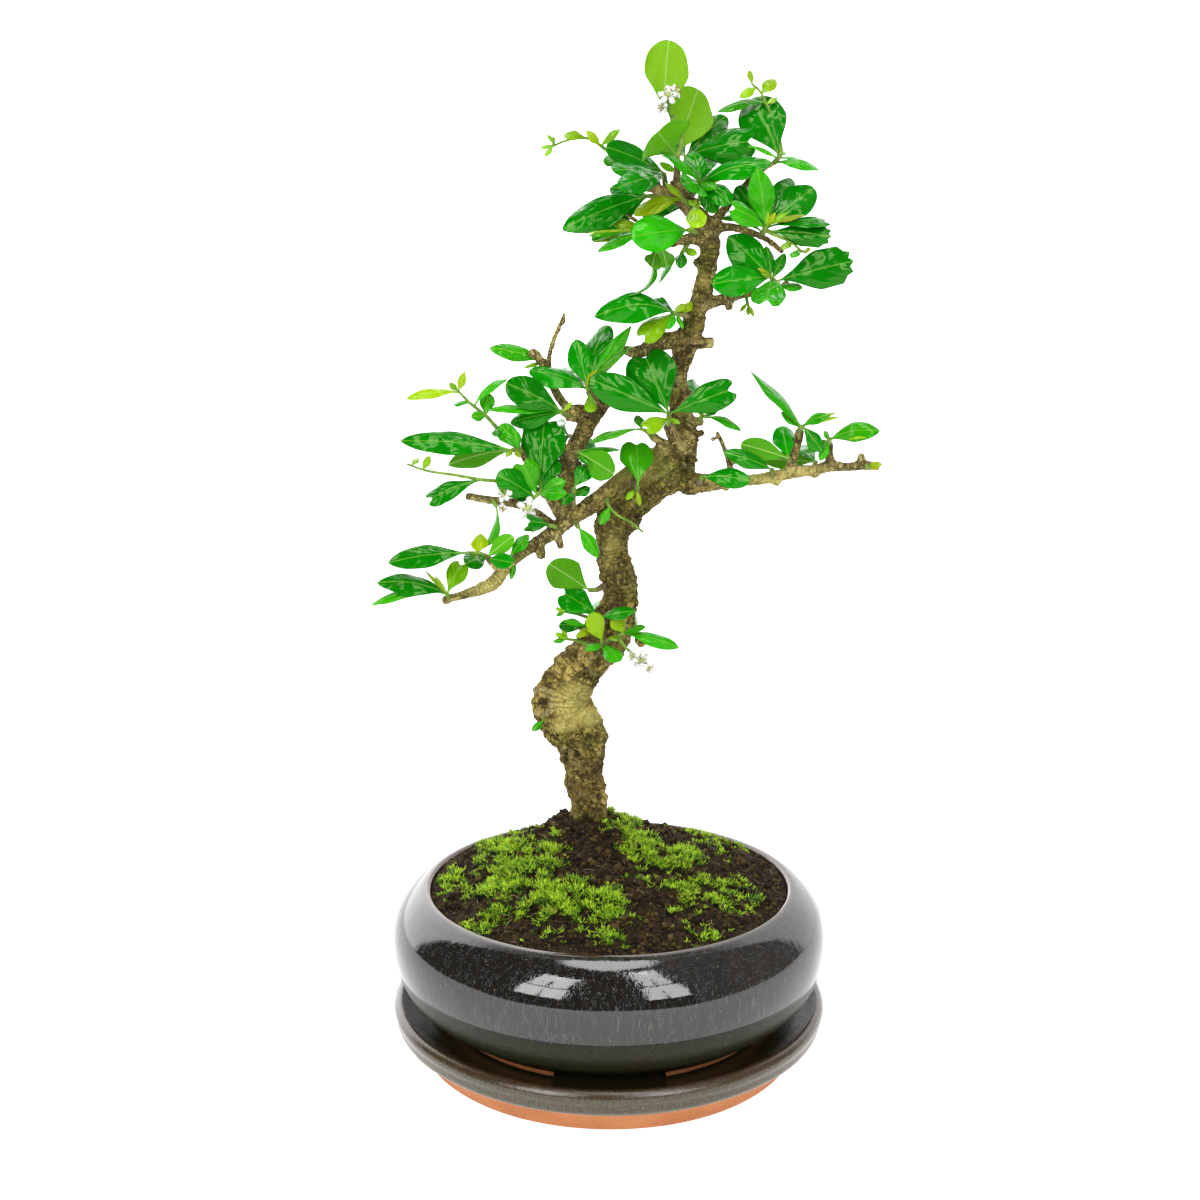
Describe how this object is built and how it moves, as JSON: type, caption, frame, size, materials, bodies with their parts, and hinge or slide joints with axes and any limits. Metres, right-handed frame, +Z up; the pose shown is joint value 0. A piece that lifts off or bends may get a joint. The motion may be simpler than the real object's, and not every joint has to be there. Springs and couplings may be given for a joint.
{
  "type": "potted bonsai tree",
  "caption": "Fukien tea bonsai: bent, gnarled trunk with leafy side branches and small white flowers, in a round glazed bowl of mossy soil that stands in a saucer.",
  "frame": {"origin": "middle of the saucer's underside, on the surface that it stands on", "axes": "+Z up along the height, -Y towards the viewer of the picture, +X to the viewer's right"},
  "size_m": [0.2136, 0.1946, 0.4357],
  "materials": {
    "saucer_glaze": "glossy olive-brown glaze over orange clay",
    "pot_glaze": "very glossy dark brown glaze with fine blue-grey streaks",
    "drain_mesh": "matte",
    "soil": "matte, crumbly, with moss",
    "bark": "rough, wrinkled, with green algae",
    "leaf_deep": "glossy above, matte below",
    "leaf_mid": "glossy above, matte below",
    "leaf_young": "satin",
    "petal": "satin"
  },
  "bodies": {
    "root": {"saucer": "saucer_glaze", "pot": "pot_glaze", "drain_mesh": "drain_mesh", "soil": "soil", "wood": "bark", "shoot_crown_top": "leaf_mid", "shoot_crown_hub": "leaf_mid", "shoot_crown_fan": "leaf_deep", "shoot_right_top": "leaf_deep", "shoot_right_crown": "leaf_mid", "shoot_right_low": "leaf_deep", "shoot_crown_centre": "leaf_young", "shoot_crown_left": "leaf_mid", "shoot_crown_back": "leaf_deep", "shoot_crown_yellow": "leaf_mid", "shoot_crown_dark": "leaf_deep", "shoot_crown_long": "leaf_mid", "shoot_crown_side": "leaf_mid", "shoot_crown_hang": "leaf_mid", "shoot_crown_under": "leaf_deep", "shoot_mid_left": "leaf_deep", "shoot_heart": "leaf_deep", "shoot_mid_top": "leaf_deep", "shoot_mid_front": "leaf_mid", "shoot_twig_left": "leaf_mid", "shoot_mid_olive": "leaf_mid", "shoot_mid_low": "leaf_mid", "shoot_behind": "leaf_mid", "shoot_front_low": "leaf_deep", "shoot_left_head": "leaf_deep", "shoot_left_spur": "leaf_deep", "shoot_left_rising": "leaf_young", "shoot_left_thin": "leaf_young", "shoot_left_hang": "leaf_mid", "shoot_left_under": "leaf_mid", "shoot_low_leaf": "leaf_mid", "shoot_low_under": "leaf_mid", "peduncle_low": "leaf_young", "shoot_low_left": "leaf_deep", "shoot_low_mid": "leaf_mid", "shoot_left_tip": "leaf_deep", "shoot_trunk_dark": "leaf_deep", "shoot_trunk_side": "leaf_mid", "shoot_right_twist": "leaf_mid", "shoot_right_stub": "leaf_mid", "shoot_right_round": "leaf_deep", "shoot_right_dark": "leaf_deep", "shoot_trunk_fork": "leaf_deep", "shoot_trunk_nub": "leaf_mid", "shoot_trunk_light": "leaf_mid", "shoot_right_rear": "leaf_mid", "shoot_rear_crown": "leaf_deep", "shoot_rear_trunk": "leaf_deep", "shoot_rear_low": "leaf_mid", "shoot_rear_left": "leaf_deep", "flowers_top": "petal", "flowers_left": "petal", "flowers_low": "petal"}
  },
  "joints": []
}
